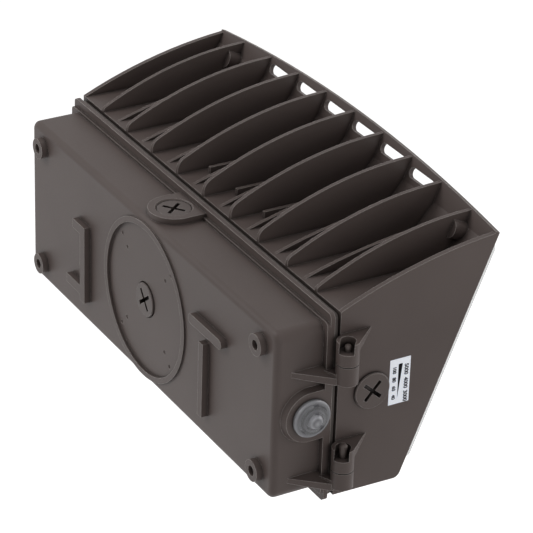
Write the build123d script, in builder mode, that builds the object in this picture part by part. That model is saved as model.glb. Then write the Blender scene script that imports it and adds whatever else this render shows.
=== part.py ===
"""Wall pack light: a cast back box, a finned front housing hinged to it, and what they hold.

Millimetres. The origin is on the axis of the round junction-box ring, in the plane of the wall.
+Z is up, the light shines towards -Y, and +X is to the right for someone facing the lit side.
A depth is a distance forward from the wall, so a point at depth d has y = -d.
"""
import os
from math import cos, radians, sin, sqrt, tan

from build123d import *

# ---------------------------------------------------------------- back box
standoff = 4.4  # height of the bosses and bars that touch the wall
box_width = 317.2
box_height = 110.4
box_wall = 3.0
box_corner = 6.0
box_edge = 4.0  # rounding round the back
flange_rear = 35.1  # depth of the flange's rear face
flange_thick = 4.8
flange_reach = 3.9  # how far the flange stands out at each end
flange_rise = 7.0  # and at the top and bottom
flange_step = 2.0  # a lower step behind its rim at the top and bottom
flange_step_rise = 1.9
flange_corner = 3.0

ring_radius = 52.5  # covers a 4 inch round junction box
ring_width = 3.6
ring_rise = 1.2
disc_recess = 0.8
mark_radii = (44.45, 34.93)  # drill points for 3-1/2 and 2-3/4 inch box screws
mark_radius = 1.5
mark_depth = 0.7

boss_inset_x = 16.9  # wall-screw bosses, in from the ends of the box
boss_inset_z = 13.3
boss_radius = 6.8
boss_hole = 3.2

bar_width = 6.3  # stand-off bars on the back
bar_end_round = 3.1

# ---------------------------------------------------------------- conduit entries
entry_thread = 10.9  # half inch pipe plug
entry_fit = 0.08
entry_mouth = 0.8  # chamfer at the mouth of the hole
entry_length = 10.0
entry_boss = 13.4  # radius of the boss behind each entry
entry_pad = 16.1  # radius of the raised pad round an entry
top_pad_rise = 4.0
side_pad_rise = flange_reach  # flush with the flange
side_pad_slope = 1.7
top_entry_depth = 23.7
side_entry_depth = 26.2
side_entry_z = -1.7
plug_length = 9.0
plug_proud = 1.3  # the rear plug stands out of its disc
plug_sunk = 0.8  # the top and end plugs sit below their pads
slot_length = 15.0  # the cross slot of every plug
slot_width = 2.4
slot_depth = 4.0

# ---------------------------------------------------------------- front housing (the door)
door_gap = 3.7  # between flange and door, filled by the gasket
gasket_inset = 1.8  # in from the flange's rim
door_overhang = 3.9  # how far the door stands out past the box at each end
door_top = 62.2
door_bottom = -59.3
door_wall = 3.0
face_tilt = 22.2  # the lit face leans forward at the top
face_bottom_depth = 88.2
face_bottom_z = -60.0
face_length = 160.4  # along the slope, at the ends
face_thick = 3.0
nose_round = 5.0
crown = 9.0  # how much higher the face plate is in the middle
rear_crown = 8.1  # the same for the rear ends of the fins
fin_pitch = 33.6
fin_count = 9
fin_thick = 2.4
fin_arch = 7.0  # rise of each fin's top edge above its chord
wall_arch = 4.7  # the same for the end walls
fin_heel = 1.1  # rounding at the rear top corner, as a share of the fin's height there
rib_start = 46.0  # depth where the low ribs between the fins begin
rib_rise = 16.0  # how far they rise on their way to the face
rib_arch = 3.5  # rise of their top edge above its chord
rib_thick = 2.2
stub_start = 62.0
stub_length = 34.0
stub_height = 4.6
crease_z = 82.0  # where the chamber's sloping roof meets the face
roof_depth = 126.0  # where that slope leaves the bay floor
chamber_depth = 20.0  # from the face to the plate that carries the LEDs
plate_thick = 4.0

vent_width = 26.0
vent_height = 6.5
vent_drop = 7.8  # from the top edge down to the middle of a vent
vent_bays = 6

# ---------------------------------------------------------------- hinges
hinge_out = 7.8  # the pins' axis stands this far out from the door's end wall
hinge_depth = 44.3
knuckle_radius = 6.8
hinge_gaps = (33.3, -37.3)  # height of the gap line of each hinge
box_knuckles = (12.0, 11.0)  # height of each fixed knuckle
arm_drop = 6.0  # its arm to the flange is lower than its top by this much
pin_rises = (12.2, 17.2)  # one pin is longer, so the door is hung on one at a time
door_knuckle = 14.2
knuckle_ring = 7.6
knuckle_gap = 0.7
pin_radius = 2.5
pin_fit = 0.08
pin_seat = 10.0
cup_radius = 4.6
cup_facing = 140.0  # direction of the cup's open side, seen from above
wing_tip_depth = 12.7
wing_sections = ((-4.3, -7.6), (-8.5, -13.0))  # top and bottom below the gap: wall, knuckle
gusset_reach = 65.2
gusset_heights = (1.4, 6.0)  # at its tip and at the knuckle

# ---------------------------------------------------------------- door screws, on the far end
lug_heights = (33.0, -33.0)
lug_reach = 13.0
lug_half = 8.0
door_lug = 17.0
box_lug = 13.0
screw_radius = 2.5
screw_hole = 2.9
screw_fit = 0.08
screw_head = 4.8
screw_head_height = 3.6
screw_engaged = 8.5  # when driven home
screw_travel = 9.5  # room for the retainer in its pocket
screw_backed = 9.2  # the screws are drawn backed out, as the door needs them to swing
screw_socket = 4.0
retainer_radius = 4.6
retainer_thick = 1.6
retainer_room = 0.4

# ---------------------------------------------------------------- photocell
cell_radius = 12.0
cell_barrel = 9.4
cell_fit = 0.1
cell_seal = 0.8
cell_nut_flats = 25.0
cell_nut_thick = 4.0

# ---------------------------------------------------------------- selector switches and their plug
access_depth = 66.3
access_z = 5.8
access_thread = 9.8
access_head = 11.7
access_head_thick = 1.1
access_travel = 9.0
access_boss = 14.0
access_boss_long = 5.0
oring_section = 0.8
board_depth = 62.5  # middle of the board
board_width = 30.0  # in depth
board_height = 44.0
board_thick = 1.6
board_gap = 16.0  # from the inside of the end wall to the board
post_radius = 3.6
switch_length = 14.0
switch_width = 7.0
switch_rise = 4.6
switch_sheet = 0.5
switch_spacing = 10.0
knob_side = 2.2
knob_rise = 3.4
foot_side = 4.4
foot_thick = 1.6
slide_clear = 0.3
cct_travel = 4.0
power_travel = 6.0
label_width = 13.9
label_height = 30.1
label_thick = 0.15
label_middle = (85.45, 6.75)  # depth and height

# ---------------------------------------------------------------- light engine
lens_margin = 0.4  # in from the end walls
lens_bottom = 12.0  # along the slope
lens_top = 153.0
lens_thick = 2.5
lens_corner = 5.0
lens_chamfer = 0.4
opening_margin = 17.5
opening_height = 98.0
opening_middle = 78.0
seal_width = 5.0
seal_thick = 1.5
seal_groove = 1.3
seal_margin = 3.0
lens_screw_x = 4 * fin_pitch
lens_screw_inset = 4.5
lens_screw_radius = 2.0
lens_screw_head = 3.5
lens_boss = 6.0
lens_boss_long = 11.0
led_board_width = 262.0
led_board_height = 92.0
led_board_middle = 68.0
led_board_thick = 1.6
pad_thick = 0.6
led_columns = 14
led_rows = 4
led_pitch_x = 17.0
led_pitch_y = 22.0
led_side = 3.5
led_high = 0.9
reflector_sheet = 1.0
reflector_width = 244.0
reflector_flare = 11.5
reflector_spread = 14.0  # how much wider and taller it is at the mouth

# ---------------------------------------------------------------- driver and wiring
driver_x = 12.0
driver_depth = 70.0
driver_length = 150.0
driver_width = 40.0
driver_height = 28.0
driver_sheet = 1.4
driver_ear = 12.0
roof_boss_radius = 4.0
roof_boss_drop = 8.0
surge_inset = 28.5  # in from the far end wall
surge_size = (26.0, 28.0, 20.0)
surge_ear = 11.0
wire_radius = 1.1
wire_spacing = 3.2
lead_rise = 7.0
grommet_inset = 23.5
grommet_hole = 5.0
grommet_lip = 1.6
small_screw = 1.5
small_head = 2.9
small_head_high = 1.8

# ---------------------------------------------------------------- terminal block in the back box
boss_rise = 8.0
earth_spot = (-100.0, -36.0)
block_middle = (-72.0, 22.0)
block_length = 32.0
block_width = 20.0
block_height = 14.0
block_ear = 8.0
block_foot = 3.0
block_poles = (-10.0, 0.0, 10.0)
block_screw_length = 9.0

# ---------------------------------------------------------------- worked out from the above
tilt = radians(face_tilt)
flange_front = flange_rear + flange_thick
flange_width = box_width + 2 * flange_reach
flange_height = box_height + 2 * flange_rise
door_rear = flange_front + door_gap
door_width = box_width + 2 * door_overhang
door_half = door_width / 2
boss_spacing_x = box_width - 2 * boss_inset_x
boss_spacing_z = box_height - 2 * boss_inset_z
hinge_x = -door_half - hinge_out
lens_width = door_width - 2 * lens_margin
opening_width = door_width - 2 * opening_margin
surge_x = door_half - surge_inset
grommet_x = door_half - grommet_inset
crown_radius = (door_half**2 + crown**2) / (2 * crown)
roof_under = door_top - door_wall
end_inside = -door_half + door_wall
box_half = box_width / 2
inner_wall = standoff + box_wall
block_spots = [(block_middle[0] + side * (block_length / 2 + 4), block_middle[1]) for side in (-1, 1)]
terminal_spots = [(block_middle[0] + x, block_middle[1] + z) for x in block_poles for z in (-5, 5)]

REAR = Plane.XZ  # local x is X, local y is Z, and an offset is a depth
SIDE = Plane(origin=(0, 0, 0), x_dir=(0, -1, 0), z_dir=(-1, 0, 0))  # local x is depth, offset is -X
FACE = Plane(
    origin=(0, -face_bottom_depth, face_bottom_z),
    x_dir=(1, 0, 0),
    z_dir=(0, -cos(tilt), -sin(tilt)),
)  # the lit face: local y runs up the slope, and an offset is outwards


def level(z):
    """A horizontal plane whose local y is depth reversed (plain Y)."""
    return Plane.XY.offset(z)


def face_depth(z, inset=0.0):
    """Depth of the face, or of a plane parallel to it and inset behind it, at height z."""
    return face_bottom_depth + (z - face_bottom_z) * tan(tilt) - inset / cos(tilt)


def crown_at(x):
    """How far the arched top stands above its ends, at x."""
    return sqrt(crown_radius**2 - x**2) - (crown_radius - crown)


def cross_slot(plane, turned, depth):
    """Cut the cross slot of a plug into the part being built, turned by degrees in the plane."""
    with BuildSketch(plane) as arms:
        with Locations(Rotation(0, 0, turned)):
            Rectangle(slot_length, slot_width)
            Rectangle(slot_width, slot_length)
    extrude(arms.sketch, amount=-depth, mode=Mode.SUBTRACT)


def finish(builder, name):
    """Label a finished piece and write it."""
    builder.part.label = name
    export_step(builder.part, f"parts/{name}.step")


os.makedirs("parts", exist_ok=True)

# The four places where a conduit or the photocell enters the back box. Each plane lies on the
# outside of its wall or pad and faces outwards.
rear_entry = Plane(origin=(0, -(standoff + disc_recess), 0), x_dir=(1, 0, 0), z_dir=(0, 1, 0))
top_entry = Plane(origin=(0, -top_entry_depth, box_height / 2 + top_pad_rise))
cell_entry = Plane(
    origin=(-box_half - side_pad_rise, -side_entry_depth, side_entry_z),
    x_dir=(0, -1, 0),
    z_dir=(-1, 0, 0),
)
end_entry = Plane(
    origin=(box_half + side_pad_rise, -side_entry_depth, side_entry_z),
    x_dir=(0, 1, 0),
    z_dir=(1, 0, 0),
)
access_entry = Plane(
    origin=(-door_half, -access_depth, access_z), x_dir=(0, -1, 0), z_dir=(-1, 0, 0)
)


# ================================================================ back box
def side_pad(plane, side):
    """A raised pad round an entry in an end wall, running forward to the flange."""
    cover = 4 * entry_pad
    behind = (-side * cover / 2, 0)
    with BuildSketch(plane.offset(-side_pad_rise)) as foot:
        Circle(entry_pad + side_pad_slope)
        with Locations(behind):
            Rectangle(cover, cover, mode=Mode.SUBTRACT)
    with BuildSketch(plane) as top:
        Circle(entry_pad)
        with Locations(behind):
            Rectangle(cover, cover, mode=Mode.SUBTRACT)
    loft([foot.sketch, top.sketch], ruled=True)
    with BuildSketch(REAR.offset(side_entry_depth)) as run:
        with BuildLine():
            Polyline(
                (side * (box_half - 1), side_entry_z - entry_pad - side_pad_slope),
                (side * box_half, side_entry_z - entry_pad - side_pad_slope),
                (side * (box_half + side_pad_rise), side_entry_z - entry_pad),
                (side * (box_half + side_pad_rise), side_entry_z + entry_pad),
                (side * box_half, side_entry_z + entry_pad + side_pad_slope),
                (side * (box_half - 1), side_entry_z + entry_pad + side_pad_slope),
                close=True,
            )
        make_face()
    extrude(run.sketch, amount=flange_rear - side_entry_depth + 1)


def box_hinge(gap, height):
    """The fixed knuckle of one hinge, its arm to the flange and the wing along the box."""
    with BuildSketch(level(gap - height)) as knuckle:
        with Locations((hinge_x, -hinge_depth)):
            Circle(knuckle_radius)
    extrude(knuckle.sketch, amount=height)
    with BuildSketch(level(gap - height)) as arm:
        with BuildLine():
            Polyline(
                (-box_half + 1, -flange_rear + 4),
                (-box_half + 1, -flange_front),
                (-door_half, -flange_front),
                (hinge_x, -hinge_depth),
                (hinge_x, -hinge_depth + knuckle_radius),
                close=True,
            )
        make_face()
    extrude(arm.sketch, amount=height - arm_drop)
    ends = ((box_half - 1, wing_tip_depth), (-hinge_x, hinge_depth - knuckle_radius))
    sections = []
    front = flange_front
    for (across, rear), (high, low) in zip(ends, wing_sections):
        with BuildSketch(SIDE.offset(across)) as section:
            with BuildLine():
                Polyline((rear, gap + high), (front, gap + high), (front, gap + low), (rear, gap + low), close=True)
            make_face()
        sections.append(section.sketch)
    loft(sections, ruled=True)


with BuildPart() as back_box:
    with BuildSketch(REAR.offset(standoff)):
        RectangleRounded(box_width, box_height, box_corner)
    extrude(amount=flange_front - standoff)
    fillet(back_box.faces().sort_by(Axis.Y)[-1].edges(), box_edge)
    with BuildSketch(REAR.offset(flange_rear)):
        RectangleRounded(flange_width, box_height + 2 * flange_step_rise, flange_corner)
    extrude(amount=flange_step)
    with BuildSketch(REAR.offset(flange_rear + flange_step)):
        RectangleRounded(flange_width, flange_height, flange_corner)
    extrude(amount=flange_thick - flange_step)
    # raised pads round the top and end entries
    with BuildSketch(top_entry.offset(-top_pad_rise)):
        Circle(entry_pad)
        pad_reach = flange_rear + flange_step - top_entry_depth + 1
        with Locations((0, -pad_reach / 2)):
            Rectangle(2 * entry_pad, pad_reach)
    extrude(amount=top_pad_rise)
    side_pad(cell_entry, -1)
    side_pad(end_entry, 1)
    # the hollow of the tray
    with BuildSketch(REAR.offset(inner_wall)):
        RectangleRounded(box_width - 2 * box_wall, box_height - 2 * box_wall, box_corner - box_wall)
    extrude(amount=flange_front, mode=Mode.SUBTRACT)
    # junction-box ring, its recessed disc and drill points
    with BuildSketch(REAR.offset(standoff)):
        Circle(ring_radius)
        Circle(ring_radius - ring_width, mode=Mode.SUBTRACT)
    extrude(amount=-ring_rise)
    with BuildSketch(REAR.offset(standoff)):
        Circle(ring_radius - ring_width)
    extrude(amount=disc_recess, mode=Mode.SUBTRACT)
    # bosses behind the three plugged entries
    for plane, outside in ((rear_entry, 0.0), (top_entry, top_pad_rise), (end_entry, side_pad_rise)):
        with BuildSketch(plane.offset(-outside - 1)):
            Circle(entry_boss)
        extrude(amount=-(entry_length - outside - 1))
        with BuildSketch(plane.offset(1)):
            Circle(entry_thread + entry_fit)
        extrude(amount=-entry_length - 2, mode=Mode.SUBTRACT)
        with BuildSketch(plane):
            Circle(entry_thread + entry_mouth)
        extrude(amount=-entry_mouth, taper=45, mode=Mode.SUBTRACT)
    with BuildSketch(cell_entry.offset(1)):
        Circle(cell_barrel + cell_fit)
    extrude(amount=-side_pad_rise - box_wall - 2, mode=Mode.SUBTRACT)
    # stand-off bosses, drilled through for wall screws
    with BuildSketch(REAR):
        with GridLocations(boss_spacing_x, boss_spacing_z, 2, 2):
            Circle(boss_radius)
    extrude(amount=standoff + box_wall)
    with BuildSketch(REAR):
        with GridLocations(boss_spacing_x, boss_spacing_z, 2, 2):
            Circle(boss_hole)
    extrude(amount=inner_wall + 1, mode=Mode.SUBTRACT)
    # stand-off bars: an upright with two short arms on one side, an upright and a bar on the other
    with BuildSketch(REAR):
        with Locations((77.4, -11.7)):
            Rectangle(bar_width, 53.8)
        with Locations((82.5, 12.1)):
            Rectangle(16.4, bar_width)
        with Locations((88.3, -31.3)):
            Rectangle(22.6, bar_width)
        with Locations((-83.1, 21.0)):
            RectangleRounded(39.8, bar_width, bar_end_round)
        with Locations((-78.9, -14.0)):
            Rectangle(5.0, 49.8)
    extrude(amount=standoff + 1)
    for radius in mark_radii:
        with BuildSketch(REAR.offset(standoff + disc_recess)):
            with PolarLocations(radius, 4, start_angle=45):
                Circle(mark_radius)
        extrude(amount=mark_depth, taper=40, mode=Mode.SUBTRACT)
    # hinges at one end, screw lugs at the other
    for gap, height in zip(hinge_gaps, box_knuckles):
        box_hinge(gap, height)
        with BuildSketch(level(gap - pin_seat)):
            with Locations((hinge_x, -hinge_depth)):
                Circle(pin_radius)
        extrude(amount=pin_seat + 1, mode=Mode.SUBTRACT)
    lug_root = box_half + flange_reach - 4
    lug_length = door_half + lug_reach - lug_root
    for height in lug_heights:
        with BuildSketch(REAR.offset(flange_front - box_lug)):
            with Locations((lug_root + lug_length / 2, height)):
                RectangleRounded(lug_length, 2 * lug_half, 3)
        extrude(amount=box_lug)
        with BuildSketch(REAR.offset(flange_front)):
            with Locations((door_half + lug_reach / 2, height)):
                Circle(screw_radius + screw_fit)
        extrude(amount=-screw_engaged - 2, mode=Mode.SUBTRACT)
    # bosses for the earth screw and the terminal block
    with BuildSketch(REAR.offset(inner_wall - 1)):
        with Locations(earth_spot, *block_spots):
            Circle(4.4)
    extrude(amount=boss_rise + 1)
    with BuildSketch(REAR.offset(inner_wall + boss_rise)):
        with Locations(earth_spot, *block_spots):
            Circle(small_screw + screw_fit)
    extrude(amount=-boss_rise, mode=Mode.SUBTRACT)
finish(back_box, "back_box")

with BuildPart() as hinge_pins:
    for gap, rise in zip(hinge_gaps, pin_rises):
        with BuildSketch(level(gap - pin_seat)):
            with Locations((hinge_x, -hinge_depth)):
                Circle(pin_radius)
        extrude(amount=pin_seat + rise)
    for end in hinge_pins.faces().filter_by(Axis.Z).group_by(Axis.Z)[1::2]:
        fillet(end.edges(), pin_radius - 0.4)
finish(hinge_pins, "hinge_pins")

with BuildPart() as door_gasket:
    with BuildSketch(REAR.offset(flange_front)):
        RectangleRounded(flange_width - 2 * gasket_inset, flange_height - 2 * gasket_inset, flange_corner)
        RectangleRounded(flange_width - 11, flange_height - 11, flange_corner, mode=Mode.SUBTRACT)
    extrude(amount=door_gap - 0.2)
    outer_rims = door_gasket.faces().filter_by(Axis.Y).edges().group_by(SortBy.LENGTH)[-1]
    fillet(outer_rims, 1.0)
finish(door_gasket, "door_gasket")


def conduit_plug(plane, proud, turned, name):
    """A threaded pipe plug with a cross slot, standing proud of the plane or sunk below it."""
    with BuildPart() as plug:
        with BuildSketch(plane.offset(proud)):
            Circle(entry_thread)
        extrude(amount=-plug_length)
        chamfer(plug.faces().sort_by(Axis(plane.origin, plane.z_dir))[-1].edges(), 0.5)
        cross_slot(plane.offset(proud), turned, slot_depth)
    finish(plug, name)


conduit_plug(rear_entry, plug_proud, 38, "rear_plug")
conduit_plug(top_entry, -plug_sunk, 38, "top_plug")
conduit_plug(end_entry, -plug_sunk, 38, "end_plug")

# ---------------------------------------------------------------- photocell
with BuildPart() as photocell_gasket:
    with BuildSketch(cell_entry):
        Circle(cell_radius)
        Circle(cell_barrel + cell_fit, mode=Mode.SUBTRACT)
    extrude(amount=cell_seal)
finish(photocell_gasket, "photocell_gasket")

cell_face = cell_entry.offset(cell_seal)
cell_nut_seat = -(side_pad_rise + box_wall)

with BuildPart() as photocell_body:
    with BuildSketch(cell_face.offset(0.8)):
        Circle(cell_barrel)
    extrude(amount=-(side_pad_rise + box_wall + cell_nut_thick + 5))
    with BuildSketch(cell_face.offset(0.8)):
        Circle(cell_barrel - 1.6)
    extrude(amount=-4, mode=Mode.SUBTRACT)
finish(photocell_body, "photocell_body")

with BuildPart() as photocell_sensor:
    with BuildSketch(cell_face.offset(-3.2)):
        Circle(cell_barrel - 1.8)
    extrude(amount=1.2)
    with BuildSketch(cell_face.offset(-2)):
        Circle(3.2)
    extrude(amount=2.2)
finish(photocell_sensor, "photocell_sensor")

with BuildPart() as photocell_lens:
    with BuildSketch(Plane(origin=cell_face.origin, x_dir=(0, -1, 0), z_dir=(0, 0, -1))):
        # local x is the radius and local y runs outwards
        with BuildLine():
            Polyline(
                (0, 1.0),
                (cell_barrel, 1.0),
                (cell_barrel, 0),
                (cell_radius, 0),
                (cell_radius, 1.4),
                (cell_radius - 0.8, 2.0),
                (cell_radius - 2.2, 2.0),
                (cell_radius - 3.2, 3.6),
                (5.2, 4.4),
            )
            Line((5.2, 4.4), (4.6, 5.6))
            ThreePointArc((4.6, 5.6), (3.0, 6.9), (0.8, 7.4))
            Polyline((0.8, 7.4), (0, 7.4), (0, 1.0))
        make_face()
    revolve(axis=Axis(cell_face.origin, (-1, 0, 0)))
finish(photocell_lens, "photocell_lens")

with BuildPart() as photocell_nut:
    with BuildSketch(cell_entry.offset(cell_nut_seat)):
        RegularPolygon(cell_nut_flats / 2, 6, major_radius=False)
        Circle(cell_barrel, mode=Mode.SUBTRACT)
    extrude(amount=-cell_nut_thick)
finish(photocell_nut, "photocell_nut")


def pan_screw(plane, positions, shank, length, head, head_height, name):
    """A group of pan-head screws: heads on the plane, shanks going in against its normal."""
    with BuildPart() as screws:
        with BuildSketch(plane):
            with Locations(*positions):
                Circle(head)
        extrude(amount=head_height)
        chamfer(screws.edges().filter_by(GeomType.CIRCLE).group_by(Axis(plane.origin, plane.z_dir))[-1], 0.6)
        with BuildSketch(plane):
            with Locations(*positions):
                Circle(shank)
        extrude(amount=-length)
        with BuildSketch(plane.offset(head_height)):
            with Locations(*positions):
                Rectangle(1.3 * head, 0.22 * head)
                Rectangle(0.22 * head, 1.3 * head)
        extrude(amount=-0.55 * head_height, mode=Mode.SUBTRACT)
    finish(screws, name)


boss_tops = REAR.offset(inner_wall + boss_rise)
pan_screw(boss_tops, [earth_spot], small_screw, 6, small_head, small_head_high, "earth_screw")

with BuildPart() as terminal_block:
    with BuildSketch(boss_tops):
        with Locations(block_middle):
            Rectangle(block_length + 2 * block_ear, block_width)
        with Locations(*block_spots):
            Circle(small_screw + 0.3, mode=Mode.SUBTRACT)
    extrude(amount=block_foot)
    with BuildSketch(boss_tops.offset(block_foot)):
        with Locations(block_middle):
            Rectangle(block_length, block_width)
    extrude(amount=block_height - block_foot)
    with BuildSketch(boss_tops.offset(block_height)):
        with Locations(*terminal_spots):
            Circle(2.6)
    extrude(amount=-8, mode=Mode.SUBTRACT)
    for side in (-1, 1):
        with BuildSketch(Plane.XY.offset(block_middle[1] + side * block_width / 2)):
            with Locations(*[(block_middle[0] + x, -inner_wall - boss_rise - 5) for x in block_poles]):
                Circle(1.9)
        extrude(amount=-side * 4, mode=Mode.SUBTRACT)
finish(terminal_block, "terminal_block")
pan_screw(
    boss_tops.offset(block_foot),
    block_spots,
    small_screw,
    block_screw_length,
    small_head,
    small_head_high,
    "terminal_block_screws",
)

with BuildPart() as terminal_screws:
    with BuildSketch(boss_tops.offset(block_height - 8)):
        with Locations(*terminal_spots):
            Circle(2.5)
    extrude(amount=5)
    with BuildSketch(boss_tops.offset(block_height - 3)):
        with Locations(*terminal_spots):
            Rectangle(4.2, 0.8)
    extrude(amount=-1.2, mode=Mode.SUBTRACT)
finish(terminal_screws, "terminal_screws")


# ================================================================ front housing
def arch_profile(x, arch):
    """Outline of an upright rib at x whose top follows the arched, crowned top of the housing."""
    lift = crown_at(x)
    front_z = face_bottom_z + face_length * cos(tilt) + lift
    front_depth = face_depth(front_z, face_thick / 2)
    rear_z = door_top + lift * rear_crown / crown
    middle = ((door_rear + front_depth) / 2, (rear_z + front_z) / 2 + arch)
    return rear_z, (front_depth, front_z), middle


def fin(x, thickness, arch=fin_arch):
    """One full fin, or an end wall with its own arch."""
    rear_z, front, middle = arch_profile(x, arch)
    low = door_top - 1
    with BuildSketch(SIDE.offset(-x - thickness / 2)) as outline:
        with BuildLine():
            Polyline((door_rear, rear_z), (door_rear, low), (face_depth(low, face_thick / 2), low), front)
            ThreePointArc(front, middle, (door_rear, rear_z))
        make_face()
        if rear_z > door_top + 1:
            heel = fin_heel * (rear_z - door_top)
            fillet(outline.vertices().group_by(Axis.X)[0].sort_by(Axis.Y)[-1], heel)
    extrude(outline.sketch, amount=thickness)


def low_rib(x):
    """A low rib in the middle of a bay, rising from the bay floor to the face."""
    low = door_top - 1
    high = door_top + rib_rise
    rear = (rib_start, door_top)
    front = (face_depth(high, face_thick / 2), high)
    middle = ((rear[0] + front[0]) / 2, (rear[1] + front[1]) / 2 + rib_arch)
    with BuildSketch(SIDE.offset(-x - rib_thick / 2)) as outline:
        with BuildLine():
            Polyline(rear, (rib_start, low), (face_depth(low, face_thick / 2), low), front)
            ThreePointArc(front, middle, rear)
        make_face()
    extrude(outline.sketch, amount=rib_thick)


def door_hinge(gap):
    """One moving knuckle: a ring on the pin, an open cup above it and a gusset to the end wall."""
    foot = gap + knuckle_gap
    head = foot + door_knuckle
    with BuildSketch(level(foot)) as barrel:
        with Locations((hinge_x, -hinge_depth)):
            Circle(knuckle_radius)
        with BuildLine():
            Polyline(
                (-door_half + 1, -door_rear),
                (hinge_x, -door_rear),
                (hinge_x, -hinge_depth - knuckle_radius),
                (-door_half + 1, -hinge_depth - knuckle_radius),
                close=True,
            )
        make_face()
    extrude(barrel.sketch, amount=door_knuckle)
    with BuildSketch(SIDE.offset(door_half - 1)) as wall_end:
        with BuildLine():
            Polyline(
                (hinge_depth, head),
                (gusset_reach, head),
                (gusset_reach, head - gusset_heights[0]),
                (hinge_depth + knuckle_radius, head - gusset_heights[1]),
                (hinge_depth, head - gusset_heights[1]),
                close=True,
            )
        make_face()
    with BuildSketch(SIDE.offset(-hinge_x + 0.78 * knuckle_radius)) as outer_end:
        with BuildLine():
            Polyline(
                (hinge_depth, head),
                (hinge_depth + 0.62 * knuckle_radius, head),
                (hinge_depth + 0.62 * knuckle_radius, head - gusset_heights[1] + 0.4),
                (hinge_depth + 0.4 * knuckle_radius, head - gusset_heights[1]),
                (hinge_depth, head - gusset_heights[1]),
                close=True,
            )
        make_face()
    loft([wall_end.sketch, outer_end.sketch], ruled=True)
    with BuildSketch(level(foot)) as bore:
        with Locations((hinge_x, -hinge_depth)):
            Circle(pin_radius + pin_fit)
    extrude(bore.sketch, amount=knuckle_ring + 1, mode=Mode.SUBTRACT)
    with BuildSketch(level(foot + knuckle_ring)) as cup:
        with Locations((hinge_x, -hinge_depth)):
            Circle(cup_radius)
        with Locations(Location((hinge_x, -hinge_depth), cup_facing)):
            Rectangle(2 * knuckle_radius, 2 * cup_radius - 0.4, align=(Align.MIN, Align.CENTER))
    extrude(cup.sketch, amount=door_knuckle, mode=Mode.SUBTRACT)


bay_count = fin_count + 1
bay_middles = [(bay - (bay_count - 1) / 2) * fin_pitch for bay in range(bay_count)]
lens_middle = (lens_bottom + lens_top) / 2
lens_height = lens_top - lens_bottom
screw_rows = (lens_bottom + lens_screw_inset, lens_top - lens_screw_inset)
lens_screw_spots = [(side * lens_screw_x, row) for side in (-1, 1) for row in screw_rows]
post_spots = [
    (board_depth - board_width / 2 + 4, access_z + board_height / 2 - 4),
    (board_depth + board_width / 2 - 4, access_z - board_height / 2 + 4),
]
driver_screw_x = driver_length / 2 + driver_ear / 2
driver_spots = [
    (driver_x + side * driver_screw_x, driver_depth + across) for side in (-1, 1) for across in (-12, 12)
]
surge_spot = (surge_x - surge_size[0] / 2 - surge_ear / 2, 62.0)
led_face = FACE.offset(-chamber_depth)
led_screw_columns = (-led_board_width / 2 + 5, 0, led_board_width / 2 - 5)
led_screw_spots = [(x, led_board_middle + up) for x in led_screw_columns for up in (-40, 40)]

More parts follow.
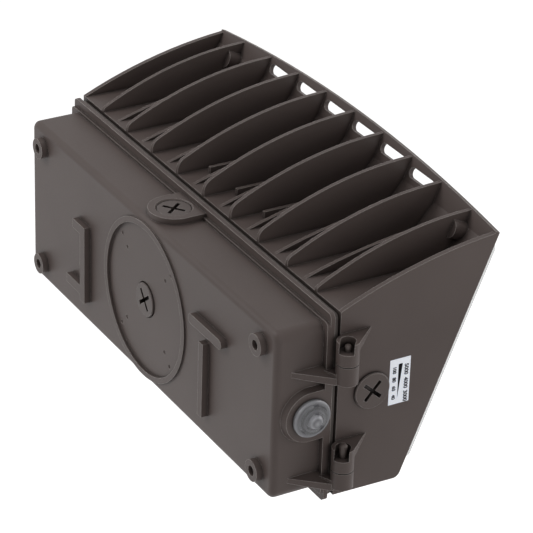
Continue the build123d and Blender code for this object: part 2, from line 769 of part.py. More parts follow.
with BuildPart() as front_housing:
    # outer body under the fins
    with BuildSketch(SIDE.offset(-door_half)) as body_outline:
        with BuildLine():
            Polyline(
                (door_rear, door_bottom),
                (door_rear, door_top),
                (roof_depth, door_top),
                (face_depth(crease_z, face_thick), crease_z),
                (face_depth(crease_z), crease_z),
                (face_bottom_depth, face_bottom_z),
                close=True,
            )
        make_face()
        fillet(body_outline.vertices().sort_by(Axis.Y)[0], nose_round)
    extrude(amount=door_width)
    # the crowned face plate rises above the body
    with BuildSketch(FACE):
        with BuildLine():
            Polyline((-door_half, face_length), (-door_half, 30), (door_half, 30), (door_half, face_length))
            ThreePointArc(
                (door_half, face_length), (0, face_length + crown / cos(tilt)), (-door_half, face_length)
            )
        make_face()
    extrude(amount=-face_thick)
    # fins and low ribs
    for index in range(fin_count):
        fin((index - (fin_count - 1) / 2) * fin_pitch, fin_thick)
    for x in bay_middles[1:-1]:
        low_rib(x)
    for x in (fin_pitch, 0, -fin_pitch):
        with BuildSketch(SIDE.offset(-x + fin_pitch / 4 - rib_thick / 2)):
            with Locations((stub_start, door_top - 1)):
                Rectangle(stub_length, stub_height + 1, align=(Align.MIN, Align.MIN))
        extrude(amount=rib_thick)
    # end walls, with a flatter arch
    fin(door_half - door_wall / 2, door_wall, wall_arch)
    fin(-door_half + door_wall / 2, door_wall, wall_arch)
    # space for the driver behind the LED plate
    plate_back = chamber_depth + plate_thick
    with BuildSketch(SIDE.offset(-door_half + door_wall)):
        with BuildLine():
            Polyline(
                (door_rear - 1, door_bottom + door_wall),
                (door_rear - 1, roof_under),
                (face_depth(roof_under, plate_back), roof_under),
                (face_depth(door_bottom + door_wall, plate_back), door_bottom + door_wall),
                close=True,
            )
        make_face()
    extrude(amount=door_width - 2 * door_wall, mode=Mode.SUBTRACT)
    # chamber in front of the LED plate
    chamber_low = door_bottom + door_wall
    slope_shift = door_wall / cos(radians(45))
    with BuildSketch(SIDE.offset(-door_half + door_wall)):
        with BuildLine():
            Polyline(
                (face_depth(chamber_low, chamber_depth), chamber_low),
                (face_depth(roof_under, chamber_depth), roof_under),
                (roof_depth + 1, roof_under),
                (face_depth(crease_z - slope_shift, face_thick), crease_z - slope_shift),
                (face_depth(chamber_low, face_thick), chamber_low),
                close=True,
            )
        make_face()
    extrude(amount=door_width - 2 * door_wall, mode=Mode.SUBTRACT)
    # bosses for the lens screws
    with BuildSketch(FACE.offset(-face_thick / 2)):
        with Locations(*lens_screw_spots):
            Circle(lens_boss)
    extrude(amount=-lens_boss_long)
    # light opening, seal groove and screw holes in the face
    with BuildSketch(FACE.offset(1)):
        with Locations((0, opening_middle)):
            RectangleRounded(opening_width, opening_height, 6)
    extrude(amount=-face_thick - 2, mode=Mode.SUBTRACT)
    with BuildSketch(FACE):
        with Locations((0, opening_middle)):
            RectangleRounded(
                opening_width + 2 * (seal_margin + seal_width),
                opening_height + 2 * (seal_margin + seal_width),
                9,
            )
            RectangleRounded(
                opening_width + 2 * seal_margin, opening_height + 2 * seal_margin, 6, mode=Mode.SUBTRACT
            )
    extrude(amount=-seal_groove, mode=Mode.SUBTRACT)
    with BuildSketch(FACE):
        with Locations(*lens_screw_spots):
            Circle(lens_screw_radius)
    extrude(amount=-lens_boss_long + 1, mode=Mode.SUBTRACT)
    # vents through the face, one to a bay, following the crown
    for x in bay_middles[2:-2]:
        with BuildSketch(FACE.offset(1)):
            with Locations((x, face_length + (crown_at(x) - vent_drop) / cos(tilt))):
                SlotOverall(vent_width, vent_height)
        extrude(amount=-face_thick - 2, mode=Mode.SUBTRACT)
    # access hole for the selector switches, posts for their board
    with BuildSketch(access_entry.offset(-1)):
        Circle(access_boss)
    extrude(amount=-door_wall - access_boss_long + 1)
    with BuildSketch(access_entry.offset(1)):
        Circle(access_thread + pin_fit)
    extrude(amount=-door_wall - access_boss_long - 2, mode=Mode.SUBTRACT)
    with BuildSketch(SIDE.offset(door_half - 1)):
        with Locations(*post_spots):
            Circle(post_radius)
    extrude(amount=-door_wall - board_gap + 1)
    with BuildSketch(SIDE.offset(door_half - door_wall - board_gap)):
        with Locations(*post_spots):
            Circle(small_screw + screw_fit)
    extrude(amount=8, mode=Mode.SUBTRACT)
    # bosses under the roof for the driver and the surge protector
    with BuildSketch(level(roof_under + 1)):
        with Locations(*[(x, -d) for x, d in driver_spots + [surge_spot]]):
            Circle(roof_boss_radius)
    extrude(amount=-roof_boss_drop - 1)
    with BuildSketch(level(roof_under - roof_boss_drop)):
        with Locations(*[(x, -d) for x, d in driver_spots + [surge_spot]]):
            Circle(small_screw + screw_fit)
    extrude(amount=7, mode=Mode.SUBTRACT)
    # screw holes in the LED plate, and a hole through it for the leads
    with BuildSketch(led_face):
        with Locations(*led_screw_spots):
            Circle(small_screw + screw_fit)
    extrude(amount=-3.4, mode=Mode.SUBTRACT)
    with BuildSketch(FACE.offset(-chamber_depth + 1)):
        with Locations((grommet_x, led_board_middle)):
            Circle(grommet_hole)
    extrude(amount=-plate_thick - 2, mode=Mode.SUBTRACT)
    # hinges and screw lugs
    for gap in hinge_gaps:
        door_hinge(gap)
    for height in lug_heights:
        with BuildSketch(REAR.offset(door_rear)):
            with Locations((door_half + lug_reach / 2 - 1, height)):
                RectangleRounded(lug_reach + 2, 2 * lug_half, 3)
        extrude(amount=door_lug)
        with BuildSketch(REAR.offset(door_rear)):
            with Locations((door_half + lug_reach / 2, height)):
                Circle(retainer_radius + retainer_room)
        extrude(amount=screw_travel + retainer_thick + retainer_room, mode=Mode.SUBTRACT)
        with BuildSketch(REAR.offset(door_rear)):
            with Locations((door_half + lug_reach / 2, height)):
                Circle(screw_hole)
        extrude(amount=door_lug + 1, mode=Mode.SUBTRACT)
finish(front_housing, "front_housing")

# ---------------------------------------------------------------- selector plug
with BuildPart() as side_plug:
    with BuildSketch(access_entry.offset(oring_section)):
        Circle(access_head)
    extrude(amount=access_head_thick)
    with BuildSketch(access_entry.offset(oring_section)):
        Circle(access_thread)
    extrude(amount=-access_travel + 1)
    chamfer(side_plug.edges().filter_by(GeomType.CIRCLE).group_by(Axis.X)[0], 0.5)
    cross_slot(access_entry.offset(oring_section + access_head_thick), 48, slot_depth + 0.5)
finish(side_plug, "side_plug")

with BuildPart() as side_plug_seal:
    with BuildSketch(access_entry):
        Circle(access_head - 0.3)
        Circle(access_thread + pin_fit, mode=Mode.SUBTRACT)
    extrude(amount=oring_section)
finish(side_plug_seal, "side_plug_seal")

# ---------------------------------------------------------------- selector board and switches
board_x = end_inside + board_gap
board_face = Plane(origin=(board_x, -board_depth, access_z), x_dir=(0, -1, 0), z_dir=(-1, 0, 0))
board_posts = [(depth - board_depth, z - access_z) for depth, z in post_spots]
switch_face = Plane(origin=(board_x, -access_depth, access_z), x_dir=(0, -1, 0), z_dir=(-1, 0, 0))

with BuildPart() as selector_board:
    with BuildSketch(board_face):
        Rectangle(board_width, board_height)
        with Locations(*board_posts):
            Circle(small_screw + screw_fit, mode=Mode.SUBTRACT)
    extrude(amount=-board_thick)
finish(selector_board, "selector_board")

board_back = Plane(origin=(board_x + board_thick, -board_depth, access_z), x_dir=(0, 1, 0), z_dir=(1, 0, 0))
back_posts = [(-across, up) for across, up in board_posts]
pan_screw(board_back, back_posts, small_screw, 7, small_head, small_head_high, "selector_screws")

switch_places = {"cct": (-switch_spacing / 2, cct_travel), "power": (switch_spacing / 2, power_travel)}

for switch, (across, travel) in switch_places.items():
    with BuildPart() as frame:
        with BuildSketch(switch_face):
            with Locations((across, 0)):
                Rectangle(switch_width, switch_length)
        extrude(amount=switch_rise)
        with BuildSketch(switch_face):
            with Locations((across, 0)):
                Rectangle(switch_width - 2 * switch_sheet, switch_length - 2 * switch_sheet)
        extrude(amount=switch_rise - switch_sheet, mode=Mode.SUBTRACT)
        with BuildSketch(switch_face):
            with Locations((across, 0)):
                Rectangle(knob_side + 2 * slide_clear, travel + knob_side + 2 * slide_clear)
        extrude(amount=switch_rise + 1, mode=Mode.SUBTRACT)
    finish(frame, f"{switch}_switch_frame")
    with BuildPart() as knob:
        with BuildSketch(switch_face.offset(slide_clear)):
            with Locations((across, -travel / 2)):
                Rectangle(foot_side, foot_side)
        extrude(amount=foot_thick)
        with BuildSketch(switch_face.offset(slide_clear + foot_thick)):
            with Locations((across, -travel / 2)):
                Rectangle(knob_side, knob_side)
        extrude(amount=switch_rise - foot_thick - slide_clear + knob_rise)
    finish(knob, f"{switch}_switch_knob")

# ---------------------------------------------------------------- setting label on the end wall
with BuildPart() as setting_label:
    with BuildSketch(SIDE.offset(door_half)):
        with Locations(label_middle):
            Rectangle(label_width, label_height)
    extrude(amount=label_thick)
finish(setting_label, "setting_label")

# ---------------------------------------------------------------- lens and light engine
with BuildPart() as lens:
    with BuildSketch(FACE):
        with Locations((0, lens_middle)):
            RectangleRounded(lens_width, lens_height, lens_corner)
    extrude(amount=lens_thick)
    chamfer(lens.faces().sort_by(Axis(FACE.origin, FACE.z_dir))[-1].edges(), lens_chamfer)
    with BuildSketch(FACE):
        with Locations((0, opening_middle)):
            RectangleRounded(opening_width - 1, opening_height - 1, 5)
            RectangleRounded(opening_width - 5, opening_height - 5, 4, mode=Mode.SUBTRACT)
    extrude(amount=-2)
    with BuildSketch(FACE):
        with Locations(*lens_screw_spots):
            Circle(lens_screw_radius + 0.2)
    extrude(amount=lens_thick + 1, mode=Mode.SUBTRACT)
finish(lens, "lens")

with BuildPart() as lens_gasket:
    with BuildSketch(FACE.offset(-seal_groove)):
        with Locations((0, opening_middle)):
            RectangleRounded(
                opening_width + 2 * (seal_margin + seal_width) - 0.4,
                opening_height + 2 * (seal_margin + seal_width) - 0.4,
                8.8,
            )
            RectangleRounded(
                opening_width + 2 * seal_margin + 0.4,
                opening_height + 2 * seal_margin + 0.4,
                6.2,
                mode=Mode.SUBTRACT,
            )
    extrude(amount=seal_groove)
finish(lens_gasket, "lens_gasket")

pan_screw(
    FACE.offset(lens_thick), lens_screw_spots, lens_screw_radius, lens_boss_long, lens_screw_head, 2.0, "lens_screws"
)

with BuildPart() as thermal_pad:
    with BuildSketch(led_face):
        with Locations((0, led_board_middle)):
            Rectangle(led_board_width, led_board_height)
        with Locations(*led_screw_spots):
            Circle(small_screw + 0.3, mode=Mode.SUBTRACT)
    extrude(amount=pad_thick)
finish(thermal_pad, "thermal_pad")

with BuildPart() as led_board:
    with BuildSketch(led_face.offset(pad_thick)):
        with Locations((0, led_board_middle)):
            Rectangle(led_board_width, led_board_height)
        with Locations(*led_screw_spots):
            Circle(small_screw + 0.3, mode=Mode.SUBTRACT)
    extrude(amount=led_board_thick)
finish(led_board, "led_board")

board_top = pad_thick + led_board_thick

with BuildPart() as leds:
    with BuildSketch(led_face.offset(board_top)):
        with Locations((0, led_board_middle)):
            with GridLocations(led_pitch_x, led_pitch_y, led_columns, led_rows):
                Rectangle(led_side, led_side)
    extrude(amount=led_high)
finish(leds, "leds")

pan_screw(
    led_face.offset(board_top),
    led_screw_spots,
    small_screw,
    board_top + 3,
    small_head,
    small_head_high,
    "led_board_screws",
)

reflector_foot = led_face.offset(board_top)
reflector_height = led_board_height - 4


def flared(inset):
    """Foot and mouth outlines of the reflector tray, both moved inwards by an inset."""
    outlines = []
    for out, spread in ((0, 0), (reflector_flare, reflector_spread)):
        with BuildSketch(reflector_foot.offset(out)) as outline:
            with Locations((0, led_board_middle + spread / 2)):
                Rectangle(reflector_width + spread - 2 * inset, reflector_height + spread - 2 * inset)
        outlines.append(outline.sketch)
    return outlines


with BuildPart() as reflector:
    loft(flared(0), ruled=True)
    loft(flared(reflector_sheet), ruled=True, mode=Mode.SUBTRACT)
    with BuildSketch(reflector_foot):
        with Locations((0, led_board_middle)):
            Rectangle(reflector_width, reflector_height)
            with GridLocations(led_pitch_x, led_pitch_y, led_columns, led_rows):
                Circle(led_side, mode=Mode.SUBTRACT)
        with Locations(*led_screw_spots):
            Circle(small_head + 0.5, mode=Mode.SUBTRACT)
    extrude(amount=reflector_sheet)
finish(reflector, "reflector")

# ---------------------------------------------------------------- driver, surge protector and leads
driver_top = roof_under - roof_boss_drop
driver_low = driver_top - driver_height

with BuildPart() as driver_case:
    with BuildSketch(level(driver_low)):
        with Locations((driver_x, -driver_depth)):
            RectangleRounded(driver_length, driver_width, 2)
    extrude(amount=driver_height)
    with BuildSketch(level(driver_low)):
        with Locations((driver_x, -driver_depth)):
            Rectangle(driver_length - 2 * driver_sheet, driver_width - 2 * driver_sheet)
    extrude(amount=driver_height - driver_sheet, mode=Mode.SUBTRACT)
    with BuildSketch(level(driver_top)):
        with Locations((driver_x, -driver_depth)):
            Rectangle(driver_length + 2 * driver_ear, driver_width)
        with Locations(*[(x, -d) for x, d in driver_spots]):
            Circle(small_screw + 0.3, mode=Mode.SUBTRACT)
    extrude(amount=-driver_sheet)
    for wire in (-1, 1):
        with BuildSketch(Plane.YZ.offset(driver_x + driver_length / 2 - 3)):
            with Locations((-driver_depth + wire * wire_spacing / 2, driver_low + 8)):
                Circle(wire_radius + 0.1)
        extrude(amount=6, mode=Mode.SUBTRACT)
finish(driver_case, "driver_case")

with BuildPart() as driver_cover:
    with BuildSketch(level(driver_low - driver_sheet)):
        with Locations((driver_x, -driver_depth)):
            RectangleRounded(driver_length, driver_width, 2)
    extrude(amount=driver_sheet)
finish(driver_cover, "driver_cover")

with BuildPart() as driver_board:
    with BuildSketch(level(driver_low)):
        with Locations((driver_x, -driver_depth)):
            Rectangle(driver_length - 2 * driver_sheet - 1, driver_width - 2 * driver_sheet - 1)
    extrude(amount=1.6)
    for x, width, height in ((-50, 18, 14), (-20, 24, 20), (12, 22, 18)):
        with BuildSketch(level(driver_low + 1.6)):
            with Locations((driver_x + x, -driver_depth)):
                RectangleRounded(width, 22, 2)
        extrude(amount=height)
    for x in (32, 46):
        with BuildSketch(level(driver_low + 1.6)):
            with Locations((driver_x + x, -driver_depth - 8)):
                Circle(5)
        extrude(amount=17)
finish(driver_board, "driver_board")

under_ears = Plane(origin=(0, 0, driver_top - driver_sheet), x_dir=(1, 0, 0), z_dir=(0, 0, -1))
pan_screw(under_ears, driver_spots, small_screw, 7, small_head, small_head_high, "driver_screws")

with BuildPart() as surge_protector:
    with BuildSketch(level(driver_top)):
        with Locations((surge_x, -surge_spot[1])):
            RectangleRounded(surge_size[0], surge_size[1], 2)
    extrude(amount=-surge_size[2])
    with BuildSketch(level(driver_top)):
        with Locations((surge_x - surge_ear / 2 - 1, -surge_spot[1])):
            Rectangle(surge_size[0] + surge_ear - 2, 12)
        with Locations((surge_spot[0], -surge_spot[1])):
            Circle(small_screw + 0.3, mode=Mode.SUBTRACT)
    extrude(amount=-driver_sheet)
finish(surge_protector, "surge_protector")
pan_screw(under_ears, [surge_spot], small_screw, 7, small_head, small_head_high, "surge_screw")

with BuildPart() as grommet:
    for out, amount in ((-chamber_depth, grommet_lip), (-chamber_depth - plate_thick, -grommet_lip)):
        with BuildSketch(FACE.offset(out)):
            with Locations((grommet_x, led_board_middle)):
                Circle(grommet_hole + 1.6)
        extrude(amount=amount)
    with BuildSketch(FACE.offset(-chamber_depth)):
        with Locations((grommet_x, led_board_middle)):
            Circle(grommet_hole)
    extrude(amount=-plate_thick)
    with BuildSketch(FACE.offset(-chamber_depth + grommet_lip)):
        with Locations((grommet_x, led_board_middle)):
            with GridLocations(1, wire_spacing, 1, 2):
                Circle(wire_radius + 0.1)
    extrude(amount=-plate_thick - 2 * grommet_lip - 1, mode=Mode.SUBTRACT)
finish(grommet, "grommet")

with BuildPart() as led_leads:
    for wire in (-1, 1):
        shift = wire * wire_spacing / 2
        hole = FACE.offset(-chamber_depth).from_local_coords((grommet_x, led_board_middle + shift, 0))
        inward = -FACE.z_dir
        start = Vector(driver_x + driver_length / 2 - 2, -driver_depth - shift, driver_low + 8)
        behind = hole + inward * 14
        front = hole - inward * lead_rise
        with BuildLine() as route:
            FilletPolyline(
                start,
                start + Vector(22, 0, 0),
                behind + Vector(-12 + shift, 0, 6),
                behind,
                front,
                front + Vector(-10.5, 0, 0),
                front + Vector(-10.5, 0, 0) + inward * (lead_rise - board_top),
                radius=2.2,
            )
        with BuildSketch(Plane(origin=route.line @ 0, z_dir=route.line % 0)):
            Circle(wire_radius)
        sweep(path=route.line)
finish(led_leads, "led_leads")


# ================================================================ captive door screws
def door_screw(height, name):
    """A captive screw through a door lug and the retainer that keeps it there."""
    x = door_half + lug_reach / 2
    seat = door_rear + door_lug + 0.2 + screw_backed
    tip = flange_front - screw_engaged + screw_backed
    with BuildPart() as screw:
        with BuildSketch(REAR.offset(seat)):
            with Locations((x, height)):
                Circle(screw_head)
        extrude(amount=screw_head_height)
        chamfer(screw.edges().filter_by(GeomType.CIRCLE).group_by(Axis.Y)[0], 0.5)
        with BuildSketch(REAR.offset(tip)):
            with Locations((x, height)):
                Circle(screw_radius)
        extrude(amount=seat - tip)
        with BuildSketch(REAR.offset(seat + screw_head_height)):
            with Locations((x, height)):
                RegularPolygon(screw_socket / 2, 6, major_radius=False)
        extrude(amount=-2.4, mode=Mode.SUBTRACT)
    finish(screw, f"{name}_door_screw")
    with BuildPart() as retainer:
        with BuildSketch(REAR.offset(door_rear + retainer_room + screw_backed)):
            with Locations((x, height)):
                Circle(retainer_radius)
                Circle(screw_radius + screw_fit, mode=Mode.SUBTRACT)
        extrude(amount=retainer_thick)
    finish(retainer, f"{name}_screw_retainer")


door_screw(lug_heights[0], "upper")
door_screw(lug_heights[1], "lower")
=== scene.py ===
from math import cos, radians, sin

import bmesh
import bpy
from mathutils import Matrix, Vector


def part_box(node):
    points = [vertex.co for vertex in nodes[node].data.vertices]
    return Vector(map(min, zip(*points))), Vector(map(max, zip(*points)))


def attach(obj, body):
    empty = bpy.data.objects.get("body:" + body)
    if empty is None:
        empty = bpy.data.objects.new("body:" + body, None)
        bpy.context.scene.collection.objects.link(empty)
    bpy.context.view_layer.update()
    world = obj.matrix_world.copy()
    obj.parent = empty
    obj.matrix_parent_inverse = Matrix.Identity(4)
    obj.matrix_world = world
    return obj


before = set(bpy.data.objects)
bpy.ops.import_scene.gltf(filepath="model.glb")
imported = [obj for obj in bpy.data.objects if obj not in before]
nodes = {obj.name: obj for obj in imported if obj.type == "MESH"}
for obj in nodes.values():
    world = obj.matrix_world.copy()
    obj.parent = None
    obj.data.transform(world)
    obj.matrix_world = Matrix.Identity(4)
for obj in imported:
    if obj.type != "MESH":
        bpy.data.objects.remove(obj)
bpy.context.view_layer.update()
MM = 0.001

# Places taken from the solids, in metres
label_low, label_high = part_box("setting_label")
label_middle = (label_low + label_high) / 2
dome_low, dome_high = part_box("photocell_lens")
dome_middle = (dome_low + dome_high) / 2


# ---------------------------------------------------------------- shader nodes
def set_inputs(node, values):
    """Set some of a node's inputs by name, with _ for a space."""
    for key, value in values.items():
        node.inputs[key.replace("_", " ")].default_value = value


def new_material(name, **constants):
    """A new material with its node tree and its shader, some of whose inputs are set by name."""
    material = bpy.data.materials.new(name)
    material.use_nodes = True
    tree = material.node_tree
    shader = tree.nodes["Principled BSDF"]
    set_inputs(shader, constants)
    return material, tree, shader


def add(tree, kind, **inputs):
    """A new node with some of its inputs set by name."""
    node = tree.nodes.new(kind)
    set_inputs(node, inputs)
    return node


def placed(tree, kind, **inputs):
    """A new node that reads the object's own coordinates, in metres."""
    node = add(tree, kind, **inputs)
    place = tree.nodes.new("ShaderNodeTexCoord")
    tree.links.new(place.outputs["Object"], node.inputs["Vector"])
    return node


def noise(tree, scale, detail=2.0, stretch=None):
    """A noise of some features per metre; stretch multiplies their number along each axis."""
    if stretch:
        mapping = placed(tree, "ShaderNodeMapping", Scale=stretch)
        grain = add(tree, "ShaderNodeTexNoise", Scale=scale, Detail=detail, Roughness=0.55)
        tree.links.new(mapping.outputs["Vector"], grain.inputs["Vector"])
    else:
        grain = placed(tree, "ShaderNodeTexNoise", Scale=scale, Detail=detail, Roughness=0.55)
    return grain.outputs["Fac"]


def ramp(tree, fac, stops):
    """A colour ramp; stops are (position, (r, g, b))."""
    node = tree.nodes.new("ShaderNodeValToRGB")
    first, last = node.color_ramp.elements
    first.position, first.color = stops[0][0], (*stops[0][1], 1)
    last.position, last.color = stops[-1][0], (*stops[-1][1], 1)
    for position, colour in stops[1:-1]:
        node.color_ramp.elements.new(position).color = (*colour, 1)
    tree.links.new(fac, node.inputs["Fac"])
    return node.outputs["Color"]


def remap(tree, value, **limits):
    """A value carried from one range to another and held within it."""
    node = add(tree, "ShaderNodeMapRange", **limits)
    tree.links.new(value, node.inputs["Value"])
    return node.outputs["Result"]


def combine(tree, operation, one, other):
    """A math node on a socket and another socket or a number."""
    node = tree.nodes.new("ShaderNodeMath")
    node.operation = operation
    tree.links.new(one, node.inputs[0])
    if isinstance(other, float):
        node.inputs[1].default_value = other
    else:
        tree.links.new(other, node.inputs[1])
    return node.outputs["Value"]


def mix(tree, fac, below, above):
    """The colour above laid over the one below, as far as fac says."""
    node = tree.nodes.new("ShaderNodeMix")
    node.data_type = "RGBA"
    tree.links.new(fac, node.inputs["Factor"])
    tree.links.new(below, node.inputs["A"])
    node.inputs["B"].default_value = (*above, 1)
    return node.outputs["Result"]


def bump(tree, shader, height, strength, distance, normal=None):
    """Relief from a height, on top of a normal where one is given."""
    node = add(tree, "ShaderNodeBump", Strength=strength, Distance=distance)
    tree.links.new(height, node.inputs["Height"])
    if normal:
        tree.links.new(normal, node.inputs["Normal"])
    tree.links.new(node.outputs["Normal"], shader.inputs["Normal"])


def cavities(tree, reach):
    """How open the surface is within reach: 1 in the open, less in corners."""
    occlusion = add(tree, "ShaderNodeAmbientOcclusion", Distance=reach)
    occlusion.samples = 6
    return occlusion.outputs["AO"]


def rounded(tree, radius):
    """The normal with every edge rounded to a radius."""
    bevel = add(tree, "ShaderNodeBevel", Radius=radius)
    bevel.samples = 6
    return bevel.outputs["Normal"]


def edge_mask(tree, normal):
    """1 where the rounded normal turns away from the surface, which is on its edges, and 0 elsewhere."""
    geometry = tree.nodes.new("ShaderNodeNewGeometry")
    agreement = tree.nodes.new("ShaderNodeVectorMath")
    agreement.operation = "DOT_PRODUCT"
    tree.links.new(normal, agreement.inputs[0])
    tree.links.new(geometry.outputs["Normal"], agreement.inputs[1])
    return remap(tree, agreement.outputs["Value"], From_Min=0.99, From_Max=0.91)


def seen_rays(tree):
    """1 for the rays that show the background: camera, glossy and transmission rays."""
    path = tree.nodes.new("ShaderNodeLightPath")
    either = path.outputs["Is Camera Ray"]
    for kind in ("Is Glossy Ray", "Is Transmission Ray"):
        either = combine(tree, "MAXIMUM", either, path.outputs[kind])
    return either


# ---------------------------------------------------------------- kinds of material
def powder_coat(name, dark, light, edge_highlight, grain=950, rough=0.42):
    """Textured powder coat: broad tone changes, a fine grain, a painted highlight on open edges and painted
    shade in corners.
    """
    material, tree, shader = new_material(name, Specular_IOR_Level=0.22)
    tone = ramp(tree, noise(tree, 9.0, 3.0), ((0.35, dark), (0.68, light)))
    fine = noise(tree, grain, 3.0)
    normal = rounded(tree, 0.3 * MM)
    openness = cavities(tree, 5 * MM)
    outer = remap(tree, openness, From_Min=0.45, From_Max=0.75)
    corner = remap(tree, openness, From_Min=0.3, From_Max=0.8, To_Min=0.95, To_Max=0.0)
    # Painted highlight: open, convex edges are coloured lighter, as if light caught them
    highlighted = mix(tree, combine(tree, "MULTIPLY", edge_mask(tree, normal), outer), tone, edge_highlight)
    # Painted shade: corners and hollows are coloured darker, where shade falls
    shade = mix(tree, corner, highlighted, tuple(0.15 * c for c in dark))
    tree.links.new(shade, shader.inputs["Base Color"])
    roughness = remap(tree, fine, To_Min=rough - 0.06, To_Max=rough + 0.12)
    tree.links.new(roughness, shader.inputs["Roughness"])
    bump(tree, shader, fine, 0.35, 0.05 * MM, normal)
    return material


def plastic(name, dark, light, rough=0.45, grain=700, depth=0.03, **constants):
    """A moulded plastic or rubber with a little variation and a fine grain, depth millimetres deep."""
    material, tree, shader = new_material(name, Roughness=rough, **constants)
    colour = ramp(tree, noise(tree, 60, 3.0), ((0.35, dark), (0.7, light)))
    tree.links.new(colour, shader.inputs["Base Color"])
    bump(tree, shader, noise(tree, grain, 2.0), 0.3, depth * MM)
    return material


def metal(name, dark, light, rough=0.32, stretch=(1, 1, 1)):
    """Plated or turned metal with a fine grain and softened edges."""
    material, tree, shader = new_material(name, Metallic=1.0)
    fine = noise(tree, 400, 4.0, stretch)
    tree.links.new(ramp(tree, fine, ((0.3, dark), (0.75, light))), shader.inputs["Base Color"])
    roughness = remap(tree, fine, To_Min=rough - 0.08, To_Max=rough + 0.14)
    tree.links.new(roughness, shader.inputs["Roughness"])
    bump(tree, shader, fine, 0.2, 0.02 * MM, rounded(tree, 0.25 * MM))
    return material


def galvanised(name):
    """Zinc-coated sheet with its spangle."""
    material, tree, shader = new_material(name, Metallic=1.0, Roughness=0.36)
    cells = placed(tree, "ShaderNodeTexVoronoi", Scale=130.0)
    spangle = ((0.2, (0.42, 0.43, 0.44)), (0.8, (0.6, 0.61, 0.62)))
    tree.links.new(ramp(tree, cells.outputs["Color"], spangle), shader.inputs["Base Color"])
    bump(tree, shader, noise(tree, 500, 3.0), 0.15, 0.02 * MM)
    return material


def frosted_lens(name):
    """Frosted lens with fine moulded ribs side by side along its length."""
    base = (0.7, 0.71, 0.7, 1)
    material, tree, shader = new_material(name, Base_Color=base, Roughness=0.25, IOR=1.58, Alpha=0.34)
    ribs = placed(tree, "ShaderNodeTexWave", Scale=46.0)
    ribs.bands_direction = "X"
    relief = combine(tree, "ADD", ribs.outputs["Fac"], noise(tree, 900, 2.0))
    bump(tree, shader, relief, 0.3, 0.08 * MM)
    return material


def stepped_dome(name):
    """Clear photocell dome with the round steps moulded into it, drawn by the reach from its axis; its
    colour is rings of painted highlight and painted shade.
    """
    material, tree, shader = new_material(name, Roughness=0.12, IOR=1.49, Transmission_Weight=0.55)
    to_axis = (0, -dome_middle.y, -dome_middle.z)
    flat = placed(tree, "ShaderNodeMapping", Scale=(0, 1, 1), Location=to_axis)
    reach = tree.nodes.new("ShaderNodeVectorMath")
    reach.operation = "LENGTH"
    tree.links.new(flat.outputs["Vector"], reach.inputs[0])
    share = remap(tree, reach.outputs["Value"], From_Max=12 * MM)
    # Painted highlights and shade: bright and dim rings stand in for the light the dome's steps refract and
    # reflect
    ring_highlight, grey, ring_shade = (0.62, 0.62, 0.66), (0.3, 0.3, 0.32), (0.14, 0.14, 0.15)
    middle = ((0, ring_highlight), (0.2, grey), (0.3, ring_highlight))
    painted_rings = ((0.42, ring_shade), (0.56, grey), (0.66, ring_shade), (0.8, grey), (0.98, ring_highlight))
    tree.links.new(ramp(tree, share, middle + painted_rings), shader.inputs["Base Color"])
    bump(tree, shader, share, 0.4, 0.4 * MM)
    return material


def circuit_board(name, mask, track, copper):
    """Circuit board: solder mask with tracks showing faintly through it."""
    material, tree, shader = new_material(name, Roughness=0.38)
    colours = {"Color1": (*mask, 1), "Color2": (*track, 1), "Mortar": (*copper, 1)}
    bricks = placed(tree, "ShaderNodeTexBrick", Scale=95.0, Mortar_Size=0.035, **colours)
    tree.links.new(bricks.outputs["Color"], shader.inputs["Base Color"])
    bump(tree, shader, bricks.outputs["Fac"], 0.2, 0.03 * MM)
    return material


# ---------------------------------------------------------------- the materials
paint = powder_coat("bronze_powder", (0.094, 0.073, 0.067), (0.112, 0.088, 0.081), (0.62, 0.57, 0.54))
plug_paint = powder_coat(
    "bronze_plug", (0.094, 0.074, 0.068), (0.112, 0.089, 0.082), (0.5, 0.46, 0.44), grain=700, rough=0.36
)

rubber = plastic(
    "gasket_rubber", (0.075, 0.063, 0.057), (0.1, 0.085, 0.077), rough=0.72, grain=500, depth=0.05
)
black_rubber = plastic(
    "black_rubber", (0.02, 0.019, 0.018), (0.035, 0.033, 0.031), rough=0.65, grain=500, depth=0.05
)
silicone = plastic("grey_silicone", (0.36, 0.37, 0.38), (0.46, 0.47, 0.48), rough=0.6)

black_plastic = plastic("black_plastic", (0.022, 0.022, 0.023), (0.04, 0.04, 0.041), rough=0.42)
sensor = plastic("sensor_cell", (0.2, 0.19, 0.2), (0.42, 0.41, 0.43), rough=0.25)
ivory = plastic("ivory_plastic", (0.62, 0.58, 0.46), (0.72, 0.68, 0.56), rough=0.4)
nylon = plastic("nylon", (0.62, 0.6, 0.54), (0.74, 0.72, 0.66), rough=0.5)
surge = plastic("surge_black", (0.018, 0.018, 0.02), (0.03, 0.03, 0.033), rough=0.24)
leads = plastic("lead_insulation", (0.3, 0.035, 0.03), (0.4, 0.055, 0.045), rough=0.38)
earth_green = plastic("earth_green", (0.02, 0.22, 0.06), (0.04, 0.32, 0.1), rough=0.35)
reflector_white = plastic(
    "reflector_white", (0.8, 0.8, 0.79), (0.88, 0.88, 0.87), rough=0.3, grain=600, depth=0.015
)
phosphor = plastic("phosphor", (0.75, 0.56, 0.12), (0.88, 0.72, 0.22), rough=0.3, grain=900, depth=0.01)

# Painted light: the label's paper glows a little, so it is brighter than the lamps alone make it
label_painted_glow = {"Emission_Color": (0.9, 0.93, 1, 1), "Emission_Strength": 0.18}
label_white = plastic(
    "label_white", (0.82, 0.85, 0.92), (0.88, 0.91, 0.97), rough=0.35, grain=900, depth=0.01, **label_painted_glow
)
label_ink = plastic(
    "label_ink", (0.004, 0.004, 0.005), (0.008, 0.008, 0.009), rough=0.8, Specular_IOR_Level=0.1
)

